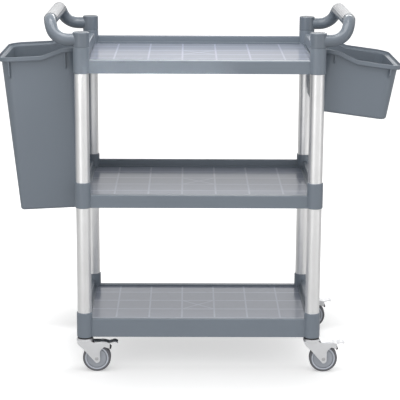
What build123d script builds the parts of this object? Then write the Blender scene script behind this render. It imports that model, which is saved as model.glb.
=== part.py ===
from build123d import *

import os
from math import cos, radians, sin, tan

# Three-tier serving trolley with two hang-on bins. Millimetres, +Z up. The origin lies on the
# ground midway between the four posts; +X points to the small bin, -Y is the front.

# Posts
POST_SPACING_X = 615.0
POST_SPACING_Y = 385.0
TUBE_DIAMETER = 38.0
TUBE_WALL = 1.5

# Clearances
PUSH_FIT = 0.1  # radial, tubes, plugs and grips on their seats
RUNNING_FIT = 0.05  # radial, turning pins
SIDE_PLAY = 0.3  # faces that move past each other
HANG_GAP = 0.3  # bin against the shelf it hangs on

# Shelf trays
SHELF_PITCH = 359.0
SHELF_OVERHANG = 7.5  # outer wall face beyond the post axes
HIGH_RIM = 51.5
LOW_RIM = 34.5
RIM_WIDTH = 12.0
RIM_ROUND = 3.0
LEDGE_WIDTH = 6.0
FLOOR_DROP = 5.0  # floor below the ledge
SHELF_CORNER = 6.0
FLOOR_CORNER = 10.0
SKIN = 3.0
STEP_INSET = 15.5  # end of the low lip, inside the sleeve, from the post axis
RIB_PITCH_X = 90.4
RIB_PITCH_Y = 80.0
RIB_WIDTH = 2.4
RIB_DEPTH = 18.0
SLEEVE_WALL = 2.4
SLEEVE_HEIGHT = 69.0
SLEEVE_WEB = 4.0  # partition between the two sockets of a sleeve
SLEEVE_CHAMFER = 1.4
END_GAP = 0.5  # tube end to partition

# Handles
SOCKET_HEIGHT = 38.5
SOCKET_ROUND = 2.5
HANDLE_DIAMETER = 32.0
ARM_RISE = 18.1  # arm axis above the socket seam
ELBOW_REACH = 68.1  # arm elbow from the post axis
BAR_REACH = 83.0
BAR_RISE = 46.7  # bar axis above the arm axis
BAR_SHOULDER = 28.1  # bar corner inside the post axis
ELBOW_BEND = 46.0
SHOULDER_BEND = 35.0
GRIP_LENGTH = 270.0
GRIP_WALL = 2.0
GRIP_ROUND = 1.2
GRIP_SEAM = 20.0  # degrees, lower edges of the grip above the level of the bar axis
SEAM_GAP = 0.3
FLUTE_COUNT = 24  # round the whole bar
FLUTE_DEPTH = 0.6
FLUTE_RADIUS = 2.2
FLUTE_MARGIN = 8.0  # plain collar at each end of the grip

# Bins
BIN_LENGTH = 209.0  # along X at the rim
BIN_WIDTH = 304.0  # along Y at the rim
BIN_WALL = 2.5
BIN_DRAFT = 3.0  # degrees per side
BIN_CORNER = 32.0  # at the rim, narrowing downwards
BIN_FOOT_ROUND = 8.0
TALL_BIN_HEIGHT = 419.0
SMALL_BIN_HEIGHT = 150.0
SMALL_BIN_TILT = 7.8  # degrees, the small bin swings in below the shelf
RIM_RISE = 18.0  # hook side of the rim above the rest of it
STEP_START = 42.0  # sloping step of the rim, from the hook wall
STEP_END = 98.0
STEP_ROUND = 40.0
COLLAR_REACH = 10.5  # wide collar round the mouth, beyond the wall
COLLAR_HEIGHT = 12.0
COLLAR_TOP_ROUND = 1.2
COLLAR_FOOT_ROUND = 3.0
COLLAR_COVE = 5.0  # between the collar and the ledge inside it
HOOK_REACH = 22.0
HOOK_DROP = 7.0
HOOK_WIDTH = 280.0
HOOK_SEAT = 6.5  # gusset foot above the low rim
HOOK_ROUND = 3.0
GUSSET_COUNT = 5
GUSSET_PITCH = 60.0
WALL_RIB_WIDTH = 3.0
WALL_RIB_REACH = 8.5
HOOK_RIB_INSET = 38.0
END_RIB_INSET = 22.0
TALL_RIB_LENGTH = 58.0
SMALL_RIB_LENGTH = 37.0

# Casters
WHEEL_DIAMETER = 76.0
TYRE_WIDTH = 24.0
TYRE_DEPTH = 6.0
TYRE_ROUND = 4.0
CASTER_TRAIL = 32.0
WHEEL_HEADROOM = 8.6  # tyre to fork crown
AXLE_DIAMETER = 8.0
AXLE_HEAD_DIAMETER = 10.0
AXLE_HEAD_HEIGHT = 1.8
HUB_LENGTH = 28.4
HUB_BOSS_DIAMETER = 18.0
HUB_RIM_WIDTH = 3.6
HUB_RIM_LENGTH = 22.0
HUB_GROOVE_WIDTH = 2.8
HUB_GROOVE_DEPTH = 2.5
HUB_DISC_LENGTH = 20.0
FORK_STEEL = 2.5
FORK_END_RADIUS = 9.0
FORK_TIP_REACH = 2.0  # lowest corner of the fork in front of the axle
FORK_TIP_ROUND = 3.0
FORK_TIP_DROP = 12.5  # below the axle
FORK_NOSE_REACH = 21.5
FORK_BROW_REACH = 15.5  # upper bend of the leading edge
FORK_BROW_DROP = 10.1
FORK_CHIN_REACH = 2.0  # lower bend of the leading edge
FORK_CHIN_DROP = 22.3
FORK_EDGE_BEND = 20.0
FORK_WEB_SHARE = 0.6  # web between the plates, along the edge from brow to chin
FORK_WEB_INSET = 1.9  # middle of the web behind the edge
FORK_SHOULDER = 18.0  # end of the plate's full height, from the swivel axis
FORK_SHOULDER_RUN = 6.0
FORK_SHOULDER_DROP = 3.6
FORK_WAIST_DROP = 24.6  # inner corner of the trailing edge below the crown
FORK_WAIST_BEND = 11.0
BRACKET_REACH = 10.0  # fork plate beyond the pedal pivot
BRACKET_DROP = 4.6  # lower corner of the plate below the pivot
CUP_DIAMETER = 45.0
CUP_WALL = 2.0
CUP_HEIGHT = 7.4
CUP_ROUND = 1.6
KINGPIN_DIAMETER = 10.0
RIVET_DIAMETER = 16.0
RIVET_HEIGHT = 3.0
BEARING_HEIGHT = 2.6
BEARING_PLAY = 1.0  # radial, bearing ring between kingpin and cup
RACE_HEIGHT = 3.0
RACE_PLAY = 0.4
STEM_DIAMETER = 11.0
STEM_LENGTH = 28.0
PLUG_FLANGE = 4.0
PLUG_FLANGE_DIAMETER = 40.6
PLUG_LENGTH = 30.0
PLUG_CHAMFER = 1.5

# Brakes
PIVOT_OFFSET = 46.0  # pedal pivot from the swivel axis
PIVOT_DROP = 5.6  # below the crown
PIN_DIAMETER = 5.0
PIN_HEAD_DIAMETER = 8.0
PIN_HEAD_HEIGHT = 1.3
PEDAL_STEEL = 1.8
PEDAL_TRAVEL = 12.0  # degrees
PEDAL_HEIGHT = 4.6  # pedal plate above the pivot
PEDAL_HEEL = 21.5  # plate in front of the pivot
PEDAL_NECK = 8.0
PEDAL_DIP = 20.8
PEDAL_HUMP = 33.5
PEDAL_TOE = 43.5
PEDAL_WAVE = 3.4
PEDAL_BEND = 7.0
PEDAL_CORNER = 6.0
EAR_RADIUS = 6.5
SHOE_GAP = 0.5  # left to the tyre with the pedal down
SHOE_DEPTH = 4.5
SHOE_FROM = 32.0  # degrees round the wheel from the horizontal
SHOE_TO = 50.0

post_x = POST_SPACING_X / 2
post_y = POST_SPACING_Y / 2
corners = {
    "front_left": (-post_x, -post_y),
    "front_right": (post_x, -post_y),
    "rear_left": (-post_x, post_y),
    "rear_right": (post_x, post_y),
}

wheel_radius = WHEEL_DIAMETER / 2
crown_base = WHEEL_DIAMETER + WHEEL_HEADROOM
crown_top = crown_base + FORK_STEEL
race_base = crown_top + BEARING_HEIGHT + SIDE_PLAY
flange_base = race_base + RACE_HEIGHT

bottom_shelf_z = flange_base + PLUG_FLANGE
middle_shelf_z = bottom_shelf_z + SHELF_PITCH
top_shelf_z = middle_shelf_z + SHELF_PITCH
shelf_length = POST_SPACING_X + 2 * SHELF_OVERHANG
shelf_width = POST_SPACING_Y + 2 * SHELF_OVERHANG
floor_level = LOW_RIM - FLOOR_DROP
bore_radius = TUBE_DIAMETER / 2 + PUSH_FIT
sleeve_radius = bore_radius + SLEEVE_WALL
socket_depth = (SLEEVE_HEIGHT - SLEEVE_WEB) / 2
tube_insert = socket_depth - END_GAP

handle_seam = top_shelf_z + SLEEVE_HEIGHT
arm_z = handle_seam + ARM_RISE
bar_x = post_x + BAR_REACH
bar_y = post_y - BAR_SHOULDER
bar_z = arm_z + BAR_RISE
grip_radius = HANDLE_DIAMETER / 2 + PUSH_FIT + GRIP_WALL

os.makedirs("parts", exist_ok=True)


def save(piece, name):
    piece.label = name
    export_step(piece, f"parts/{name}.step")


# Shelf trays

with BuildPart() as sleeve_blank:
    Cylinder(sleeve_radius, SLEEVE_HEIGHT, align=(Align.CENTER, Align.CENTER, Align.MIN))
    chamfer(sleeve_blank.edges().filter_by(GeomType.CIRCLE), SLEEVE_CHAMFER)


def shelf_outline(inset, corner, mode=Mode.ADD):
    RectangleRounded(shelf_length - 2 * inset, shelf_width - 2 * inset, corner, mode=mode)


def build_shelf(base):
    with BuildPart() as shelf:
        with BuildSketch(base):
            shelf_outline(0, SHELF_CORNER)
        extrude(amount=HIGH_RIM)
        with BuildSketch(base.offset(LOW_RIM)):
            shelf_outline(RIM_WIDTH, SHELF_CORNER)
            with Locations((0, -shelf_width / 2)):
                Rectangle(POST_SPACING_X - 2 * STEP_INSET, 2 * RIM_WIDTH + 2 * RIM_ROUND)
        extrude(amount=HIGH_RIM - LOW_RIM, mode=Mode.SUBTRACT)
        rim_top = shelf.faces().sort_by(Axis.Z)[-1]
        fillet(rim_top.edges().filter_by(lambda edge: edge.length > 2 * RIM_WIDTH), RIM_ROUND)
        lip = base.from_local_coords(Vector(0, -shelf_width / 2, LOW_RIM))
        fillet(shelf.edges().sort_by_distance(lip)[0], RIM_ROUND)

        with BuildSketch(base.offset(floor_level)):
            shelf_outline(RIM_WIDTH + LEDGE_WIDTH, FLOOR_CORNER)
        extrude(amount=FLOOR_DROP, mode=Mode.SUBTRACT)

        with BuildSketch(base):
            shelf_outline(RIM_WIDTH, SHELF_CORNER)
        extrude(amount=floor_level - SKIN, mode=Mode.SUBTRACT)
        with BuildSketch(base):
            shelf_outline(SKIN, SHELF_CORNER - SKIN)
            shelf_outline(RIM_WIDTH - SKIN, SHELF_CORNER, mode=Mode.SUBTRACT)
        extrude(amount=LOW_RIM - SKIN, mode=Mode.SUBTRACT)
        with BuildSketch(base.offset(LOW_RIM - SKIN)):
            shelf_outline(SKIN, SHELF_CORNER - SKIN)
            shelf_outline(RIM_WIDTH - SKIN, SHELF_CORNER, mode=Mode.SUBTRACT)
            with Locations((0, -shelf_width / 2)):
                Rectangle(shelf_length, 2 * RIM_WIDTH, mode=Mode.SUBTRACT)
        extrude(amount=HIGH_RIM - LOW_RIM, mode=Mode.SUBTRACT)

        inner_length = shelf_length - 2 * RIM_WIDTH
        inner_width = shelf_width - 2 * RIM_WIDTH
        with BuildSketch(base.offset(floor_level - SKIN - RIB_DEPTH)):
            with GridLocations(RIB_PITCH_X, 0, int(inner_length / RIB_PITCH_X), 1):
                Rectangle(RIB_WIDTH, inner_width)
            with GridLocations(0, RIB_PITCH_Y, 1, int(inner_width / RIB_PITCH_Y)):
                Rectangle(inner_length, RIB_WIDTH)
            diagonal = Vector(RIB_PITCH_X, RIB_PITCH_Y)
            slope = diagonal.get_angle(Vector(1, 0))
            Rectangle(diagonal.length, RIB_WIDTH, rotation=slope)
            Rectangle(diagonal.length, RIB_WIDTH, rotation=-slope)
        extrude(amount=RIB_DEPTH)

        foot = base.origin.Z
        with Locations(*[(x, y, foot) for x, y in corners.values()]):
            add(sleeve_blank.part)
            Cylinder(
                bore_radius,
                socket_depth,
                align=(Align.CENTER, Align.CENTER, Align.MIN),
                mode=Mode.SUBTRACT,
            )
        with Locations(*[(x, y, foot + SLEEVE_HEIGHT) for x, y in corners.values()]):
            Cylinder(
                bore_radius,
                socket_depth,
                align=(Align.CENTER, Align.CENTER, Align.MAX),
                mode=Mode.SUBTRACT,
            )
    return shelf.part


save(build_shelf(Plane.XY.offset(top_shelf_z)), "shelf_top")
save(build_shelf(Plane.XY.offset(middle_shelf_z)), "shelf_middle")
turned = Plane(origin=(0, 0, bottom_shelf_z), x_dir=(-1, 0, 0), z_dir=(0, 0, 1))
save(build_shelf(turned), "shelf_bottom")

# Posts

for level, lower_shelf_z in (("lower", bottom_shelf_z), ("upper", middle_shelf_z)):
    tube_foot = lower_shelf_z + SLEEVE_HEIGHT - tube_insert
    tube_length = SHELF_PITCH - SLEEVE_HEIGHT + 2 * tube_insert
    for corner, (x, y) in corners.items():
        with BuildPart() as tube:
            with BuildSketch(Plane(origin=(x, y, tube_foot))):
                Circle(TUBE_DIAMETER / 2)
                Circle(TUBE_DIAMETER / 2 - TUBE_WALL, mode=Mode.SUBTRACT)
            extrude(amount=tube_length)
        save(tube.part, f"tube_{level}_{corner}")

# Handles

with BuildPart() as socket_blank:
    Cylinder(sleeve_radius, SOCKET_HEIGHT, align=(Align.CENTER, Align.CENTER, Align.MIN))
    fillet(socket_blank.edges().group_by(Axis.Z)[-1], SOCKET_ROUND)
    Cylinder(TUBE_DIAMETER / 2, tube_insert, align=(Align.CENTER, Align.CENTER, Align.MAX))


def grip_sector(plane, lift):
    # Upper part of a bar section, above the two seams of the grip raised by lift
    reach = 2 * HANDLE_DIAMETER
    rise = lift + reach * tan(radians(GRIP_SEAM))
    with BuildSketch(plane) as sector:
        with BuildLine():
            Polyline((0, lift), (reach, rise), (reach, reach), (-reach, reach), (-reach, rise), close=True)
        make_face()
    return sector.sketch


for end, side in (("left", -1), ("right", 1)):
    bar_end = Plane(origin=(side * bar_x, GRIP_LENGTH / 2, bar_z), x_dir=(1, 0, 0), z_dir=(0, -1, 0))
    with BuildPart() as bar_sleeve:
        with BuildSketch(bar_end):
            Circle(grip_radius)
        extrude(amount=GRIP_LENGTH)
        fillet(bar_sleeve.edges().filter_by(GeomType.CIRCLE), GRIP_ROUND)

    with BuildPart() as cradle:
        add(bar_sleeve.part)
        extrude(grip_sector(bar_end, 0), GRIP_LENGTH, both=True, mode=Mode.SUBTRACT)

    with BuildPart() as handle:
        with BuildLine() as path:
            FilletPolyline(
                (side * post_x, -post_y, arm_z),
                (side * (post_x + ELBOW_REACH), -post_y, arm_z),
                (side * bar_x, -bar_y, bar_z),
                (side * bar_x, bar_y, bar_z),
                (side * (post_x + ELBOW_REACH), post_y, arm_z),
                (side * post_x, post_y, arm_z),
                radius=[ELBOW_BEND, SHOULDER_BEND, SHOULDER_BEND, ELBOW_BEND],
            )
        with BuildSketch(Plane(origin=path.line @ 0, z_dir=path.line % 0)):
            Circle(HANDLE_DIAMETER / 2)
        sweep(path=path.line)
        with Locations((side * post_x, -post_y, handle_seam), (side * post_x, post_y, handle_seam)):
            add(socket_blank.part)
        add(cradle.part)
    save(handle.part, f"handle_{end}")

    with BuildPart() as grip:
        add(bar_sleeve.part)
        with BuildSketch(bar_end.offset(FLUTE_MARGIN)):
            with PolarLocations(grip_radius + FLUTE_RADIUS - FLUTE_DEPTH, FLUTE_COUNT):
                Circle(FLUTE_RADIUS)
        extrude(amount=GRIP_LENGTH - 2 * FLUTE_MARGIN, mode=Mode.SUBTRACT)
        with BuildSketch(bar_end):
            Circle(HANDLE_DIAMETER / 2 + PUSH_FIT)
        extrude(amount=GRIP_LENGTH, mode=Mode.SUBTRACT)
        extrude(grip_sector(bar_end, SEAM_GAP), GRIP_LENGTH, both=True, mode=Mode.INTERSECT)
    save(grip.part, f"grip_{end}")

# Bins


def hang_frame(side, tilt):
    # Rim frame of a bin that hangs on the top shelf's end rim and leans on the end wall below it
    lean = radians(tilt)
    drift = tan(radians(tilt - BIN_DRAFT))
    end_face = shelf_length / 2
    rim_z = top_shelf_z + HIGH_RIM
    reach = (top_shelf_z * drift - HANG_GAP) * sin(lean)
    rise = (rim_z * cos(lean) + reach - HOOK_SEAT + HANG_GAP) / (cos(lean) + drift * sin(lean))
    offset_x = end_face + HANG_GAP + (rise - top_shelf_z) * drift
    return Plane(
        origin=(side * offset_x, 0, rise),
        x_dir=(side * cos(lean), 0, -sin(lean)),
        z_dir=(side * sin(lean), 0, cos(lean)),
    )


def tapered(rim, low, high, grow):
    # Drafted bucket shape between two levels of the rim frame, grown outwards
    spread = high * tan(radians(BIN_DRAFT)) + grow
    with BuildPart() as block:
        with BuildSketch(rim.offset(high)):
            with Locations((BIN_LENGTH / 2, 0)):
                RectangleRounded(BIN_LENGTH + 2 * spread, BIN_WIDTH + 2 * spread, BIN_CORNER + spread)
        extrude(amount=high - low, dir=-rim.z_dir, taper=BIN_DRAFT)
    return block.part


def mouth_band(view, start, top, bottom):
    # Side view of everything from start on, between the mouth line lowered by top and by bottom
    beyond = BIN_LENGTH + 2 * COLLAR_REACH
    with BuildSketch(view) as band:
        with BuildLine():
            for drop in (top, bottom):
                FilletPolyline(
                    (start, RIM_RISE - drop),
                    (STEP_START, RIM_RISE - drop),
                    (STEP_END, -drop),
                    (beyond, -drop),
                    radius=STEP_ROUND,
                )
            Line((start, RIM_RISE - top), (start, RIM_RISE - bottom))
            Line((beyond, -top), (beyond, -bottom))
        make_face()
    return band.sketch


def border(piece, rim, direction):
    # Outer edges of the faces that look along direction, without those at the hook wall
    facing = piece.faces().filter_by(lambda face: face.normal_at().dot(direction) > 0.5)
    edges = [edge for face in facing for edge in face.edges()]
    outer = [edge for edge in edges if sum(edge.is_same(other) for other in edges) == 1]
    return [edge for edge in outer if rim.to_local_coords(edge.center()).X > 2 * BIN_WALL]


def build_bin(side, height, tilt, rib_length):
    rim = hang_frame(side, tilt)
    view = Plane(origin=rim.origin, x_dir=rim.x_dir, z_dir=-rim.y_dir)
    across = BIN_WIDTH

    with BuildPart() as hollow:
        add(tapered(rim, BIN_WALL - height, RIM_RISE, -BIN_WALL))
        foot_edges = hollow.faces().sort_by(Axis.Z)[0].edges()
        fillet(foot_edges, BIN_FOOT_ROUND - BIN_WALL)

    with BuildPart() as collar:
        add(tapered(rim, -2 * COLLAR_HEIGHT, RIM_RISE, COLLAR_REACH))
        extrude(mouth_band(view, 0, 0, COLLAR_HEIGHT), across, both=True, mode=Mode.INTERSECT)
        fillet(border(collar, rim, rim.z_dir), COLLAR_TOP_ROUND)
        fillet(border(collar, rim, -rim.z_dir), COLLAR_FOOT_ROUND)

    with BuildPart() as recess:
        ledge_drop = COLLAR_HEIGHT - BIN_WALL
        add(tapered(rim, -2 * COLLAR_HEIGHT, 2 * RIM_RISE, COLLAR_REACH - BIN_WALL))
        extrude(mouth_band(view, BIN_WALL, -2 * RIM_RISE, ledge_drop), across, both=True, mode=Mode.INTERSECT)
        fillet(border(recess, rim, -rim.z_dir), COLLAR_COVE)

    with BuildPart() as bucket:
        add(tapered(rim, -height, RIM_RISE, 0))
        fillet(bucket.faces().sort_by(Axis.Z)[0].edges(), BIN_FOOT_ROUND)
        for along, top in ((HOOK_RIB_INSET, RIM_RISE), (BIN_LENGTH - END_RIB_INSET, 0)):
            half = BIN_WIDTH / 2
            slope = tan(radians(BIN_DRAFT))
            section = Plane(
                origin=rim.from_local_coords(Vector(along - WALL_RIB_WIDTH / 2, 0, top)),
                x_dir=rim.y_dir,
                z_dir=rim.x_dir,
            )
            knee = rib_length - WALL_RIB_REACH
            tip = half + WALL_RIB_REACH - knee * slope
            root = half - rib_length * slope
            with BuildSketch(section):
                with BuildLine():
                    Polyline(
                        (-half - WALL_RIB_REACH, 0),
                        (half + WALL_RIB_REACH, 0),
                        (tip, -knee),
                        (root, -rib_length),
                        (-root, -rib_length),
                        (-tip, -knee),
                        close=True,
                    )
                make_face()
            extrude(amount=WALL_RIB_WIDTH)
        extrude(mouth_band(view, -BIN_LENGTH, -2 * RIM_RISE, 0), across, both=True, mode=Mode.SUBTRACT)
        add(collar.part)
        add(hollow.part, mode=Mode.SUBTRACT)
        add(recess.part, mode=Mode.SUBTRACT)

        with BuildSketch(view) as hook:
            with BuildLine():
                Polyline(
                    (-HOOK_REACH, -HOOK_DROP),
                    (-HOOK_REACH, RIM_RISE),
                    (0, RIM_RISE),
                    (0, RIM_RISE - BIN_WALL),
                    (BIN_WALL - HOOK_REACH, RIM_RISE - BIN_WALL),
                    (BIN_WALL - HOOK_REACH, -HOOK_DROP),
                    close=True,
                )
            make_face()
            fillet(hook.vertices().sort_by_distance((-HOOK_REACH, RIM_RISE))[0], HOOK_ROUND)
        extrude(amount=HOOK_WIDTH / 2, both=True)
        for index in range(GUSSET_COUNT):
            station = (index - (GUSSET_COUNT - 1) / 2) * GUSSET_PITCH
            with BuildSketch(view.offset(station)):
                with Locations((BIN_WALL - HOOK_REACH, HOOK_SEAT)):
                    Rectangle(
                        HOOK_REACH - BIN_WALL,
                        RIM_RISE - BIN_WALL - HOOK_SEAT,
                        align=(Align.MIN, Align.MIN),
                    )
            extrude(amount=BIN_WALL / 2, both=True)
    return bucket.part


save(build_bin(-1, TALL_BIN_HEIGHT, BIN_DRAFT, TALL_RIB_LENGTH), "bin_tall")
save(build_bin(1, SMALL_BIN_HEIGHT, SMALL_BIN_TILT, SMALL_RIB_LENGTH), "bin_small")

# Casters, drawn on the swivel axis and then set under each post

fork_inside = HUB_LENGTH / 2 + SIDE_PLAY
fork_outside = fork_inside + FORK_STEEL
axle_radius = AXLE_DIAMETER / 2
kingpin_radius = KINGPIN_DIAMETER / 2
cup_radius = CUP_DIAMETER / 2
pivot_z = crown_base - PIVOT_DROP
axle_line = Location((CASTER_TRAIL, 0, wheel_radius), (90, 0, 0))
pivot_line = Location((PIVOT_OFFSET, 0, pivot_z), (90, 0, 0))
axle_view = Plane(origin=(CASTER_TRAIL, 0, wheel_radius), x_dir=(0, 1, 0), z_dir=(1, 0, 0))
axle_axis = Axis((CASTER_TRAIL, 0, wheel_radius), (0, 1, 0))

with BuildPart() as plug:
    with BuildSketch(Plane.XZ):
        with BuildLine():
            Polyline(
                (STEM_DIAMETER / 2 + PUSH_FIT, flange_base),
                (PLUG_FLANGE_DIAMETER / 2, flange_base),
                (PLUG_FLANGE_DIAMETER / 2, bottom_shelf_z),
                (TUBE_DIAMETER / 2, bottom_shelf_z),
                (TUBE_DIAMETER / 2, bottom_shelf_z + PLUG_LENGTH - PLUG_CHAMFER),
                (TUBE_DIAMETER / 2 - PLUG_CHAMFER, bottom_shelf_z + PLUG_LENGTH),
                (STEM_DIAMETER / 2 + PUSH_FIT, bottom_shelf_z + PLUG_LENGTH),
                close=True,
            )
        make_face()
    revolve(axis=Axis.Z)

with BuildPart() as stem:
    race_radius = cup_radius - CUP_WALL - RACE_PLAY
    rivet_top = crown_base - SIDE_PLAY
    with BuildSketch(Plane.XZ):
        with BuildLine():
            Polyline(
                (0, rivet_top - RIVET_HEIGHT),
                (RIVET_DIAMETER / 2, rivet_top - RIVET_HEIGHT),
                (RIVET_DIAMETER / 2, rivet_top),
                (kingpin_radius, rivet_top),
                (kingpin_radius, race_base),
                (race_radius, race_base),
                (race_radius, flange_base),
                (STEM_DIAMETER / 2, flange_base),
                (STEM_DIAMETER / 2, flange_base + STEM_LENGTH),
                (0, flange_base + STEM_LENGTH),
                close=True,
            )
        make_face()
    revolve(axis=Axis.Z)

with BuildPart() as bearing:
    with BuildSketch(Plane.XY.offset(crown_top)):
        Circle(cup_radius - CUP_WALL - BEARING_PLAY)
        Circle(kingpin_radius + BEARING_PLAY, mode=Mode.SUBTRACT)
    extrude(amount=BEARING_HEIGHT)

with BuildPart() as fork:
    with BuildSketch(Plane.XZ) as cup:
        with BuildLine():
            Polyline(
                (kingpin_radius + RUNNING_FIT, crown_base),
                (cup_radius, crown_base),
                (cup_radius, crown_base + CUP_HEIGHT),
                (cup_radius - CUP_WALL, crown_base + CUP_HEIGHT),
                (cup_radius - CUP_WALL, crown_top),
                (kingpin_radius + RUNNING_FIT, crown_top),
                close=True,
            )
        make_face()
        fillet(cup.vertices().sort_by_distance((cup_radius, crown_base))[0], CUP_ROUND)
    revolve(axis=Axis.Z)
    nose = Vector(-FORK_NOSE_REACH, crown_base)
    brow = Vector(-FORK_BROW_REACH, crown_base - FORK_BROW_DROP)
    chin = Vector(-FORK_CHIN_REACH, crown_base - FORK_CHIN_DROP)
    tip_z = wheel_radius - FORK_TIP_DROP
    shoulder_z = crown_top - FORK_SHOULDER_DROP
    bracket_x = PIVOT_OFFSET + BRACKET_REACH
    with BuildSketch(Plane.XZ.offset(fork_inside)):
        with BuildLine():
            FilletPolyline(
                (-FORK_NOSE_REACH, crown_top),
                (nose.X, nose.Y),
                (brow.X, brow.Y),
                (chin.X, chin.Y),
                (CASTER_TRAIL - FORK_TIP_REACH, tip_z),
                (CASTER_TRAIL + FORK_END_RADIUS, tip_z),
                (CASTER_TRAIL + FORK_END_RADIUS, crown_base - FORK_WAIST_DROP),
                (bracket_x, pivot_z - BRACKET_DROP),
                (bracket_x, shoulder_z),
                (FORK_SHOULDER + FORK_SHOULDER_RUN, shoulder_z),
                (FORK_SHOULDER, crown_top),
                radius=[
                    FORK_STEEL / 2,
                    FORK_STEEL / 2,
                    FORK_EDGE_BEND,
                    FORK_EDGE_BEND,
                    FORK_TIP_ROUND,
                    FORK_END_RADIUS,
                    FORK_WAIST_BEND,
                    FORK_STEEL,
                    FORK_STEEL,
                    FORK_STEEL,
                    FORK_STEEL,
                ],
                close=True,
            )
        make_face()
    extrude(amount=FORK_STEEL)
    mirror(about=Plane.XZ)
    web_end = brow + (chin - brow) * FORK_WEB_SHARE
    with BuildSketch(Plane.XZ):
        with BuildLine():
            FilletPolyline(
                (nose.X + FORK_WEB_INSET, nose.Y),
                (brow.X + FORK_WEB_INSET, brow.Y),
                (web_end.X + FORK_WEB_INSET, web_end.Y),
                radius=FORK_EDGE_BEND,
            )
        trace(line_width=FORK_STEEL)
    extrude(amount=fork_outside, both=True)
    with Locations(axle_line):
        Cylinder(axle_radius + PUSH_FIT, 2 * fork_outside, mode=Mode.SUBTRACT)
    with Locations(pivot_line):
        Cylinder(PIN_DIAMETER / 2 + PUSH_FIT, 2 * fork_outside, mode=Mode.SUBTRACT)

with BuildPart() as axle:
    with Locations(axle_line):
        Cylinder(axle_radius, 2 * fork_outside)
    for y_side in (-1, 1):
        with BuildSketch(Plane.XZ.offset(y_side * fork_outside)):
            with Locations((CASTER_TRAIL, wheel_radius)):
                Circle(AXLE_HEAD_DIAMETER / 2)
        extrude(amount=y_side * AXLE_HEAD_HEIGHT)
    chamfer(axle.faces().filter_by(Plane.XZ).group_by(Axis.Y)[0].edges(), AXLE_HEAD_HEIGHT / 3)
    chamfer(axle.faces().filter_by(Plane.XZ).group_by(Axis.Y)[-1].edges(), AXLE_HEAD_HEIGHT / 3)

with BuildPart() as tyre:
    with BuildSketch(axle_view) as tread_section:
        with Locations((0, wheel_radius - TYRE_DEPTH)):
            Rectangle(TYRE_WIDTH, TYRE_DEPTH, align=(Align.CENTER, Align.MIN))
        fillet(tread_section.vertices().group_by(Axis.Y)[-1], TYRE_ROUND)
    revolve(axis=axle_axis)

with BuildPart() as hub:
    hub_radius = wheel_radius - TYRE_DEPTH - PUSH_FIT
    rim_inner = hub_radius - HUB_RIM_WIDTH
    disc_radius = rim_inner - HUB_GROOVE_WIDTH
    groove_half = HUB_DISC_LENGTH / 2 - HUB_GROOVE_DEPTH
    with BuildSketch(axle_view):
        with BuildLine():
            half_section = Polyline(
                (0, axle_radius + RUNNING_FIT),
                (HUB_LENGTH / 2, axle_radius + RUNNING_FIT),
                (HUB_LENGTH / 2, HUB_BOSS_DIAMETER / 2),
                (HUB_DISC_LENGTH / 2, HUB_BOSS_DIAMETER / 2),
                (HUB_DISC_LENGTH / 2, disc_radius),
                (groove_half, disc_radius),
                (groove_half, rim_inner),
                (HUB_RIM_LENGTH / 2, rim_inner),
                (HUB_RIM_LENGTH / 2, hub_radius),
                (0, hub_radius),
            )
            mirror(half_section, about=Plane.YZ)
        make_face()
    revolve(axis=axle_axis)

with BuildPart() as pin:
    with Locations(pivot_line):
        Cylinder(PIN_DIAMETER / 2, 2 * fork_outside)
    for y_side in (-1, 1):
        with BuildSketch(Plane.XZ.offset(y_side * fork_outside)):
            with Locations((PIVOT_OFFSET, pivot_z)):
                Circle(PIN_HEAD_DIAMETER / 2)
        extrude(amount=y_side * PIN_HEAD_HEIGHT)

# The shoe is drawn where the pressed pedal puts it, on a plane turned back by the pedal's travel
turn = radians(PEDAL_TRAVEL)
pivot_point = Vector(PIVOT_OFFSET, 0, pivot_z)
pressed = Plane(origin=pivot_point, x_dir=(cos(turn), 0, sin(turn)), z_dir=(0, -1, 0))
ear_outside = fork_inside - SIDE_PLAY
ear_inside = ear_outside - PEDAL_STEEL

with BuildPart() as shoe:
    with BuildSketch(pressed):
        with BuildLine():
            hub_centre = (CASTER_TRAIL - PIVOT_OFFSET, wheel_radius - pivot_z)
            shoe_radius = wheel_radius + SHOE_GAP
            shoe_arc = SHOE_TO - SHOE_FROM
            inner_arc = CenterArc(hub_centre, shoe_radius, SHOE_FROM, shoe_arc)
            outer_arc = CenterArc(hub_centre, shoe_radius + SHOE_DEPTH, SHOE_FROM, shoe_arc)
            Line(inner_arc @ 0, outer_arc @ 0)
            Line(inner_arc @ 1, outer_arc @ 1)
        make_face()
    extrude(amount=ear_inside, both=True)

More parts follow.
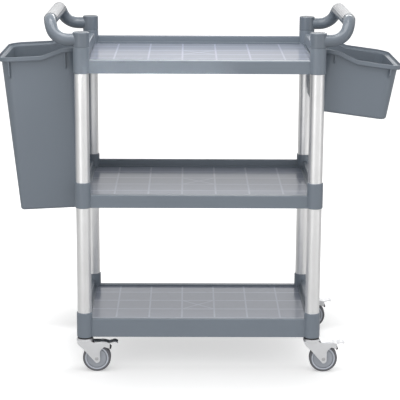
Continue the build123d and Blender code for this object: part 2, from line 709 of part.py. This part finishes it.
with BuildPart() as pedal:
    plate_z = pivot_z + PEDAL_HEIGHT
    with BuildSketch(Plane.XZ):
        with BuildLine() as wave:
            FilletPolyline(
                (PIVOT_OFFSET - PEDAL_HEEL, plate_z),
                (PIVOT_OFFSET + PEDAL_NECK, plate_z),
                (PIVOT_OFFSET + PEDAL_DIP, plate_z - PEDAL_WAVE),
                (PIVOT_OFFSET + PEDAL_HUMP, plate_z + PEDAL_STEEL / 2),
                (PIVOT_OFFSET + PEDAL_TOE, plate_z - PEDAL_STEEL),
                radius=PEDAL_BEND,
            )
        trace(line_width=PEDAL_STEEL)
    extrude(amount=ear_outside, both=True)
    with BuildSketch(Plane.XY):
        with Locations((PIVOT_OFFSET - PEDAL_HEEL, 0)):
            RectangleRounded(
                PEDAL_HEEL + PEDAL_TOE,
                2 * ear_outside,
                PEDAL_CORNER,
                align=(Align.MIN, Align.CENTER),
            )
    extrude(amount=2 * crown_top, mode=Mode.INTERSECT)
    with BuildSketch(Plane.XZ.offset(ear_inside)):
        with Locations((PIVOT_OFFSET, pivot_z)):
            Circle(EAR_RADIUS)
        with Locations(
            (PIVOT_OFFSET - EAR_RADIUS, plate_z),
            (PIVOT_OFFSET + PEDAL_NECK, plate_z),
            (PIVOT_OFFSET + PEDAL_DIP, plate_z - PEDAL_WAVE),
        ):
            Circle(PEDAL_STEEL / 2)
        shoe_seat = shoe.part.center()
        with Locations((shoe_seat.X, shoe_seat.Z)):
            Circle(SHOE_DEPTH / 2)
        make_hull()
        with Locations((PIVOT_OFFSET, pivot_z)):
            Circle(PIN_DIAMETER / 2 + RUNNING_FIT, mode=Mode.SUBTRACT)
    ear = extrude(amount=PEDAL_STEEL)
    mirror(ear, about=Plane.XZ)

caster_pieces = {
    "plug": plug.part,
    "stem": stem.part,
    "bearing": bearing.part,
    "fork": fork.part,
    "axle": axle.part,
    "tyre": tyre.part,
    "hub": hub.part,
    "brake_pin": pin.part,
    "brake_pedal": pedal.part,
    "brake_shoe": shoe.part,
}
for corner, (x, y) in corners.items():
    for piece_name, piece in caster_pieces.items():
        save(piece.moved(Location((x, y, 0))), f"{piece_name}_{corner}")
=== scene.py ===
import math

import bpy
from mathutils import Matrix, Vector

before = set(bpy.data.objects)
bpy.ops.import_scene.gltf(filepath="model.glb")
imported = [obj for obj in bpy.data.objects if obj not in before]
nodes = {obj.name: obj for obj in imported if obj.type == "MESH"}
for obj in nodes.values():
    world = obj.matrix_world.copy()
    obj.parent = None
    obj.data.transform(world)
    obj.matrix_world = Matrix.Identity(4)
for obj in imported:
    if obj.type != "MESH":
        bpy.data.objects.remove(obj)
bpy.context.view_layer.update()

# Lengths are in metres, lamp powers in watts, angles in degrees; colours are linear
CORNERS = ("front_left", "front_right", "rear_left", "rear_right")


def at_corners(*pieces):
    """Node names of the pieces at each of the four corners."""
    return [f"{piece}_{corner}" for piece in pieces for corner in CORNERS]


def tint(colour, gain):
    return tuple(min(1.0, channel * gain) for channel in colour)


# Node trees

class Graph:
    """A node tree, with short calls for the nodes used here."""

    def __init__(self, tree):
        self.nodes = tree.nodes
        self.links = tree.links
        self.nodes.clear()

    def node(self, kind, operation=None):
        node = self.nodes.new(kind)
        if operation:
            node.operation = operation
        return node

    def feed(self, socket, value):
        """Link an output to the socket, or set the socket to a constant."""
        if isinstance(value, bpy.types.NodeSocket):
            self.links.new(value, socket)
        else:
            socket.default_value = value

    def math(self, operation, *values, clamp=False):
        node = self.node("ShaderNodeMath", operation)
        node.use_clamp = clamp
        for socket, value in zip(node.inputs, values):
            self.feed(socket, value)
        return node.outputs[0]

    def plus(self, a, b):
        return self.math("ADD", a, b)

    def minus(self, a, b):
        return self.math("SUBTRACT", a, b)

    def times(self, a, b):
        return self.math("MULTIPLY", a, b)

    def over(self, a, b, clamp=False):
        return self.math("DIVIDE", a, b, clamp=clamp)

    def power(self, value, exponent):
        return self.math("POWER", value, exponent)

    def size(self, value):
        return self.math("ABSOLUTE", value)

    def split(self, vector):
        node = self.node("ShaderNodeSeparateXYZ")
        self.feed(node.inputs[0], vector)
        return node.outputs

    def spread(self, value, low, high, start=0.0, stop=1.0, smooth=False):
        """Map start..stop to low..high, held at both ends."""
        node = self.node("ShaderNodeMapRange")
        node.interpolation_type = "SMOOTHSTEP" if smooth else "LINEAR"
        self.feed(node.inputs["Value"], value)
        self.feed(node.inputs["From Min"], start)
        self.feed(node.inputs["From Max"], stop)
        self.feed(node.inputs["To Min"], low)
        self.feed(node.inputs["To Max"], high)
        return node.outputs[0]


class Material(Graph):
    """A material with one principled shader."""

    def __init__(self, name):
        self.material = bpy.data.materials.new(name)
        self.material.use_nodes = True
        super().__init__(self.material.node_tree)
        self.shader = self.node("ShaderNodeBsdfPrincipled")
        output = self.node("ShaderNodeOutputMaterial")
        self.feed(output.inputs["Surface"], self.shader.outputs["BSDF"])
        self.coordinates = self.node("ShaderNodeTexCoord").outputs
        self.place = self.coordinates["Object"]

    def wire(self, value, name):
        self.feed(self.shader.inputs[name], value)

    def source(self, name):
        """The output that is wired to the shader's input of this name."""
        return self.shader.inputs[name].links[0].from_socket

    def stretch(self, scale):
        node = self.node("ShaderNodeVectorMath", "MULTIPLY")
        self.feed(node.inputs[0], self.place)
        self.feed(node.inputs[1], scale)
        return node.outputs[0]

    def noise(self, scale, detail, roughness=0.5, vector=None):
        node = self.node("ShaderNodeTexNoise")
        self.feed(node.inputs["Scale"], scale)
        self.feed(node.inputs["Detail"], detail)
        self.feed(node.inputs["Roughness"], roughness)
        self.feed(node.inputs["Vector"], self.place if vector is None else vector)
        return node.outputs["Fac"]

    def ramp(self, value, *stops):
        node = self.node("ShaderNodeValToRGB")
        for element, (position, colour) in zip(node.color_ramp.elements, stops):
            element.position = position
            element.color = (*colour, 1.0)
        self.feed(node.inputs[0], value)
        return node.outputs[0]

    def mix(self, factor, a, b):
        """Output a where the factor is 0, and b, an output or a colour, where it is 1."""
        node = self.node("ShaderNodeMix")
        node.data_type = "RGBA"
        colour_a, colour_b, colour_out = node.inputs[6], node.inputs[7], node.outputs[2]
        self.feed(node.inputs["Factor"], factor)
        self.feed(colour_a, a)
        self.feed(colour_b, (*b, 1.0) if isinstance(b, tuple) else b)
        return colour_out

    def bump(self, height, strength, distance, normal):
        node = self.node("ShaderNodeBump")
        self.feed(node.inputs["Strength"], strength)
        self.feed(node.inputs["Distance"], distance)
        self.feed(node.inputs["Height"], height)
        self.feed(node.inputs["Normal"], normal)
        return node.outputs[0]

    def rounded(self, radius):
        node = self.node("ShaderNodeBevel")
        node.samples = 4
        self.feed(node.inputs["Radius"], radius)
        return node.outputs[0]

    def geometry(self, name):
        return self.node("ShaderNodeNewGeometry").outputs[name]

    def edges(self, radius, gain):
        """1 along sharp edges, 0 on the faces between them."""
        node = self.node("ShaderNodeVectorMath", "DOT_PRODUCT")
        self.feed(node.inputs[0], self.rounded(radius))
        self.feed(node.inputs[1], self.geometry("Normal"))
        return self.math("MULTIPLY", self.minus(1.0, node.outputs["Value"]), gain, clamp=True)


# Kinds of material

PLASTIC_GRAIN = 0.12
PLASTIC_EDGE, METAL_EDGE = 0.0008, 0.0005
# Edges drawn lighter: worn plastic and a painted highlight together
EDGE_WEAR_AND_HIGHLIGHT, WORN_AND_HIGHLIT_TINT = 0.30, 1.9
ROUGH_DRIFT = 0.015


def moulded(name, colour, rough, grain=PLASTIC_GRAIN):
    """Injection-moulded plastic: slight tone drift, fine grain, softened edges drawn lighter, as
    worn edges and as a painted highlight.
    """
    tree = Material(name)
    drift = tree.noise(scale=3.0, detail=2.0)
    speck = tree.noise(scale=420.0, detail=2.0)
    rub = tree.noise(scale=45.0, detail=3.0)
    haze = tree.noise(scale=12.0, detail=2.0)
    tone = tree.ramp(drift, (0.25, tint(colour, 0.96)), (0.75, tint(colour, 1.04)))
    # Lighter edges: partly worn plastic, partly a painted highlight where the edges catch the
    # light
    wear_and_highlight = tree.spread(rub, low=0.9 * EDGE_WEAR_AND_HIGHLIGHT, high=1.1 * EDGE_WEAR_AND_HIGHLIGHT)
    rubbed_and_highlit = tree.times(tree.edges(radius=0.0016, gain=2.5), wear_and_highlight)
    tree.wire(tree.mix(rubbed_and_highlit, tone, tint(colour, WORN_AND_HIGHLIT_TINT)), "Base Color")
    tree.wire(tree.spread(haze, low=rough - ROUGH_DRIFT, high=rough + ROUGH_DRIFT), "Roughness")
    soft_edge = tree.rounded(PLASTIC_EDGE)
    tree.wire(tree.bump(speck, strength=grain, distance=0.0002, normal=soft_edge), "Normal")
    return tree


def metal(name, colour, rough, brush, grain=0.15):
    """Plain metal with fine scratches, drawn out along the axis with the lowest brush scale."""
    tree = Material(name)
    tree.wire(1.0, "Metallic")
    lines = tree.noise(scale=1.0, detail=4.0, roughness=0.6, vector=tree.stretch(brush))
    cloud = tree.noise(scale=14.0, detail=3.0)
    tone = tree.ramp(cloud, (0.3, tint(colour, 0.96)), (0.7, tint(colour, 1.03)))
    tree.wire(tone, "Base Color")
    tree.wire(tree.spread(lines, low=rough - 0.07, high=rough + 0.08), "Roughness")
    soft_edge = tree.rounded(METAL_EDGE)
    tree.wire(tree.bump(lines, strength=grain, distance=0.00015, normal=soft_edge), "Normal")
    return tree


def paint(tree, names):
    for name in names:
        mesh = nodes[name].data
        mesh.materials.clear()
        mesh.materials.append(tree.material)


# Shelf trays: the ribs underneath read through the glossy floor as faint marks; their lighter
# colour is a painted reflection

GREY = (0.178, 0.208, 0.245)
FLOOR_GREY = (0.186, 0.200, 0.238)
LINE_SHEEN_TINT, LINE_STRENGTH = 2.5, 0.80
RIB_X, RIB_Y = 0.0904, 0.080
ACROSS_HALF, ALONG_HALF, CROSS_HALF = 0.0030, 0.0048, 0.0045
FLOOR_HALF_X, FLOOR_HALF_Y = 0.296, 0.181
UPWARD = 0.9
WALL_ROUGH, FLOOR_ROUGH, POLISH_RANGE = 0.30, 0.15, 0.04
FLOOR_GRAIN = 0.02
STREAK_SCALE = (9.0, 330.0, 9.0)
UPWARD_FLOOR_LOW, UPWARD_FLOOR_HIGH = 1.58, 1.70

shelf = moulded("shelf_plastic", GREY, WALL_ROUGH)
x, y = shelf.split(shelf.place)[:2]
from_middle_x, from_middle_y = shelf.size(x), shelf.size(y)


def rib_distance(value, pitch):
    """Distance to the nearest rib; the first ones lie half a pitch from the middle."""
    share = shelf.math("FRACT", shelf.over(value, pitch))
    return shelf.times(shelf.size(shelf.minus(share, 0.5)), pitch)


def line(distance, half):
    """1 along the middle of a line, falling to 0 at its edges."""
    return shelf.over(shelf.minus(half, distance), 0.5 * half, clamp=True)


def below(value, limit):
    return shelf.math("LESS_THAN", value, limit)


across = line(rib_distance(x, RIB_X), ACROSS_HALF)
along = line(rib_distance(y, RIB_Y), ALONG_HALF)
diagonal = shelf.size(shelf.minus(shelf.times(from_middle_x, RIB_Y / RIB_X), from_middle_y))
cross = shelf.times(line(diagonal, CROSS_HALF), below(from_middle_x, RIB_X / 2))
ribs = shelf.math("MAXIMUM", shelf.math("MAXIMUM", across, along), cross)
inside = shelf.times(below(from_middle_x, FLOOR_HALF_X), below(from_middle_y, FLOOR_HALF_Y))
facing = shelf.split(shelf.geometry("True Normal"))["Z"]
floor_only = shelf.times(inside, shelf.math("GREATER_THAN", facing, UPWARD))

# Upward-facing floor faces: 1.58 to 1.70 times the floor grey, lighter than the walls, varying in
# streaks along X
drawn_out = shelf.stretch(STREAK_SCALE)
streak = shelf.noise(scale=1.0, detail=3.0, roughness=0.6, vector=drawn_out)
upward_floor_tones = [tint(FLOOR_GREY, gain) for gain in (UPWARD_FLOOR_LOW, UPWARD_FLOOR_HIGH)]
upward_floor_tone = shelf.ramp(streak, (0.3, upward_floor_tones[0]), (0.7, upward_floor_tones[1]))
tone = shelf.mix(floor_only, shelf.source("Base Color"), upward_floor_tone)
# Rib marks drawn lighter than the floor: real marks, with their lightness a painted reflection
sheen_line_share = shelf.times(shelf.times(ribs, floor_only), LINE_STRENGTH)
shelf.wire(shelf.mix(sheen_line_share, tone, tint(FLOOR_GREY, LINE_SHEEN_TINT)), "Base Color")
polish = shelf.spread(streak, low=FLOOR_ROUGH - POLISH_RANGE, high=FLOOR_ROUGH + POLISH_RANGE)
wall_rough = shelf.source("Roughness")
smoother = shelf.times(floor_only, shelf.minus(polish, wall_rough))
shelf.wire(shelf.plus(wall_rough, smoother), "Roughness")
grain = shelf.minus(PLASTIC_GRAIN, shelf.times(floor_only, PLASTIC_GRAIN - FLOOR_GRAIN))
shelf.feed(shelf.source("Normal").node.inputs["Strength"], grain)
paint(shelf, ("shelf_top", "shelf_middle", "shelf_bottom"))

# Bins, handles and the other plain plastics

BIN_TINT, HANDLE_SHADE_TINT = 0.96, 0.82
GRIP_SPECULAR = 0.3
bins = moulded("bin_plastic", tint(GREY, BIN_TINT), rough=0.34, grain=0.16)
paint(bins, ("bin_tall", "bin_small"))
# Handles: the shelf grey drawn darker, painted shade that offsets the light on their upper faces
handles = moulded("handle_plastic", tint(GREY, HANDLE_SHADE_TINT), rough=0.17, grain=0.06)
paint(handles, ("handle_left", "handle_right"))
grips = moulded("grip_plastic", (0.430, 0.434, 0.443), rough=0.55, grain=0.35)
grips.wire(GRIP_SPECULAR, "Specular IOR Level")
paint(grips, ("grip_left", "grip_right"))
paint(moulded("plug_plastic", (0.016, 0.016, 0.018), rough=0.4), at_corners("plug"))
tyre = moulded("tyre_rubber", (0.130, 0.132, 0.145), rough=0.55, grain=0.5)
paint(tyre, at_corners("tyre"))

# Wheel hub: a pale lip at its rim

HUB, HUB_RADIUS = (0.35, 0.37, 0.41), 0.0319
LIP_RADIUS, LIP_TINT = 0.0283, 1.6
hub = moulded("hub_plastic", HUB, rough=0.38)
spot = hub.split(hub.coordinates["Generated"])
legs = [hub.times(hub.minus(spot[axis], 0.5), 2.0 * HUB_RADIUS) for axis in ("X", "Z")]
radius = hub.math("SQRT", hub.plus(*[hub.times(leg, leg) for leg in legs]))
lip = hub.math("GREATER_THAN", radius, LIP_RADIUS)
hub.wire(hub.mix(lip, hub.source("Base Color"), tint(HUB, LIP_TINT)), "Base Color")
paint(hub, at_corners("hub"))
shoe = moulded("shoe_black", (0.03, 0.03, 0.032), rough=0.5, grain=0.5)
paint(shoe, at_corners("brake_shoe"))

# Metals

tube = metal("post_aluminium", (0.91, 0.91, 0.91), rough=0.38, brush=(900.0, 900.0, 8.0))
paint(tube, at_corners("tube_lower", "tube_upper"))
zinc = metal("zinc_plate", (0.86, 0.865, 0.88), rough=0.36, brush=(220.0, 220.0, 220.0), grain=0.1)
paint(zinc, at_corners("stem", "bearing", "fork", "brake_pin", "brake_pedal"))
# Axle: the metal drawn darker than the zinc, painted shade for the small shadow at its head
shaded_axle_metal = metal("axle_metal_shaded", (0.60, 0.60, 0.61), rough=0.40, brush=(400.0, 400.0, 400.0), grain=0.1)
paint(shaded_axle_metal, at_corners("axle"))

# Floor: pale, glowing to white for the camera away from the trolley. Under the trolley the glow is
# painted light that pales its shadow, and it dips at the shadow's front and back edges, painted
# shade that softens them.
# For glossy rays the floor glows brighter towards the front, a painted reflection for what the
# metal mirrors

WHITE = (1.0, 1.0, 1.0, 1.0)
FLOOR_SIZE, FLOOR_COLOUR = 60.0, (0.74, 0.74, 0.74, 1.0)
scene = bpy.context.scene
scene.view_settings.view_transform = "Standard"


class Stage(Graph):
    """The node tree of the floor or the world."""

    def seen(self, *rays):
        """1 for rays of the named kinds, else 0."""
        kinds = self.node("ShaderNodeLightPath").outputs
        total = kinds[rays[0]]
        for ray in rays[1:]:
            total = self.math("MAXIMUM", total, kinds[ray])
        return total


bpy.ops.mesh.primitive_plane_add(size=FLOOR_SIZE, location=(0.0, 0.0, 0.0))
floor = bpy.context.object
floor.name = "studio_floor"
ground = bpy.data.materials.new("studio_floor")
ground.use_nodes = True
stage = Stage(ground.node_tree)
output = stage.node("ShaderNodeOutputMaterial")
matte = stage.node("ShaderNodeBsdfDiffuse")
glow = stage.node("ShaderNodeEmission")
both = stage.node("ShaderNodeAddShader")
stage.feed(matte.inputs["Color"], FLOOR_COLOUR)
stage.feed(glow.inputs["Color"], WHITE)
stage.feed(both.inputs[0], matte.outputs[0])
stage.feed(both.inputs[1], glow.outputs[0])
stage.feed(output.inputs["Surface"], both.outputs[0])

east, north = stage.split(stage.node("ShaderNodeNewGeometry").outputs["Position"])[:2]
# Painted light under the trolley that pales its shadow, falling to a painted shade band near its
# front and back edges
paled_shadow_glow = stage.spread(
    stage.size(north), low=0.57, high=0.32, start=0.137, stop=0.216, smooth=True
)
footprint = stage.power(stage.plus(stage.power(east, 4.0), stage.power(north, 4.0)), 0.25)
around = stage.spread(footprint, low=0.0, high=0.40, start=0.29, stop=0.61, smooth=True)
painted_floor_glow = stage.plus(paled_shadow_glow, around)
distance = stage.power(stage.plus(stage.power(east, 2.0), stage.power(north, 2.0)), 0.5)
frontward = stage.over(north, distance)
# Glow seen only in reflections, brighter towards the front: a painted reflection in the metal
sheen = stage.times(
    stage.spread(frontward, low=1.0, high=0.0, start=-0.9, stop=-0.2, smooth=True),
    stage.spread(distance, low=0.0, high=0.44, start=0.8, stop=3.0, smooth=True),
)
camera_floor_glow = stage.times(stage.seen("Is Camera Ray", "Is Transmission Ray"), painted_floor_glow)
mirrored = stage.times(stage.seen("Is Glossy Ray"), sheen)
stage.feed(glow.inputs["Strength"], stage.plus(camera_floor_glow, mirrored))
floor.data.materials.append(ground)

# World: white to the camera; the object is lit by a dimmer room, brightest in front, and mirrors
# a backdrop that fades towards the floor

world = bpy.data.worlds.new("studio")
scene.world = world
world.use_nodes = True
stage = Stage(world.node_tree)
output = stage.node("ShaderNodeOutputWorld")
sky = stage.node("ShaderNodeBackground")
stage.feed(sky.inputs["Color"], WHITE)
direction = stage.split(stage.node("ShaderNodeTexCoord").outputs["Generated"])
faded = stage.spread(direction["Z"], low=0.52, high=0.0, start=0.13, stop=0.29)
mirrored = stage.times(faded, stage.seen("Is Glossy Ray"))
dimmer = stage.spread(direction["Y"], low=0.0, high=0.50, start=-0.68, stop=0.02, smooth=True)
undimmed = stage.seen("Is Camera Ray", "Is Glossy Ray", "Is Transmission Ray")
dimmed = stage.times(dimmer, stage.spread(undimmed, low=1.0, high=0.0))
loss = stage.plus(dimmed, mirrored)
stage.feed(sky.inputs["Strength"], stage.spread(loss, low=1.0, high=0.0))
stage.feed(output.inputs["Surface"], sky.outputs[0])

# Lamps: overhead and lip_strip are gridded, for the top shelf's floor and its front face


def softbox(name, place, target, size, power, spread=180.0):
    lamp = bpy.data.lights.new(name, "AREA")
    lamp.shape = "RECTANGLE"
    lamp.size, lamp.size_y = size
    lamp.energy = power
    lamp.spread = math.radians(spread)
    holder = bpy.data.objects.new(name, lamp)
    scene.collection.objects.link(holder)
    holder.location = place
    aim = Vector(target) - Vector(place)
    holder.rotation_euler = aim.to_track_quat("-Z", "Y").to_euler()
    holder.visible_camera = False


softbox(
    "overhead", place=(0.0, -0.05, 1.8), target=(0.0, -0.05, 0.85),
    size=(0.7, 0.35), power=0.5, spread=42.0,
)
softbox(
    "lip_strip", place=(-0.115, -1.5, 1.1), target=(-0.115, -0.21, 0.80),
    size=(0.36, 0.05), power=0.062, spread=6.0,
)
softbox(
    "front_top", place=(-0.15, -0.48, 1.75), target=(0.0, -0.1, 0.85),
    size=(1.2, 0.6), power=8.0,
)
softbox(
    "front_strip", place=(-1.35, -2.3, 0.85), target=(0.0, 0.0, 0.85),
    size=(0.7, 1.7), power=4.5,
)
softbox(
    "right_strip", place=(2.1, -1.1, 0.85), target=(0.0, 0.0, 0.85),
    size=(0.6, 1.7), power=3.0,
)
softbox(
    "rear_fill", place=(0.5, 2.4, 2.0), target=(0.0, 0.0, 0.5),
    size=(1.4, 0.8), power=13.0,
)

# Camera at the photograph's standpoint

CAMERA_PLACE = (-0.0291, -4.0317, 1.3854)
YAW, PITCH, ROLL = -0.473, -13.314, -0.285
LENS_PIXELS, FRAME_PIXELS = 1485.7, 400.0
SENSOR_WIDTH = 36.0     # in millimetres, as Blender's lens is

yaw, pitch, roll = (math.radians(angle) for angle in (YAW, PITCH, ROLL))
turn = (
    Matrix.Rotation(yaw, 3, "Z") @ Matrix.Rotation(pitch, 3, "X") @ Matrix.Rotation(roll, 3, "Y")
)
right, ahead, up = turn.col
lens = bpy.data.cameras.new("camera")
lens.sensor_width = SENSOR_WIDTH
lens.lens = SENSOR_WIDTH * LENS_PIXELS / FRAME_PIXELS
lens.clip_end = 200.0
camera = bpy.data.objects.new("camera", lens)
scene.collection.objects.link(camera)
placed = Matrix((right, up, -ahead)).transposed().to_4x4()
placed.translation = CAMERA_PLACE
camera.matrix_world = placed
scene.camera = camera
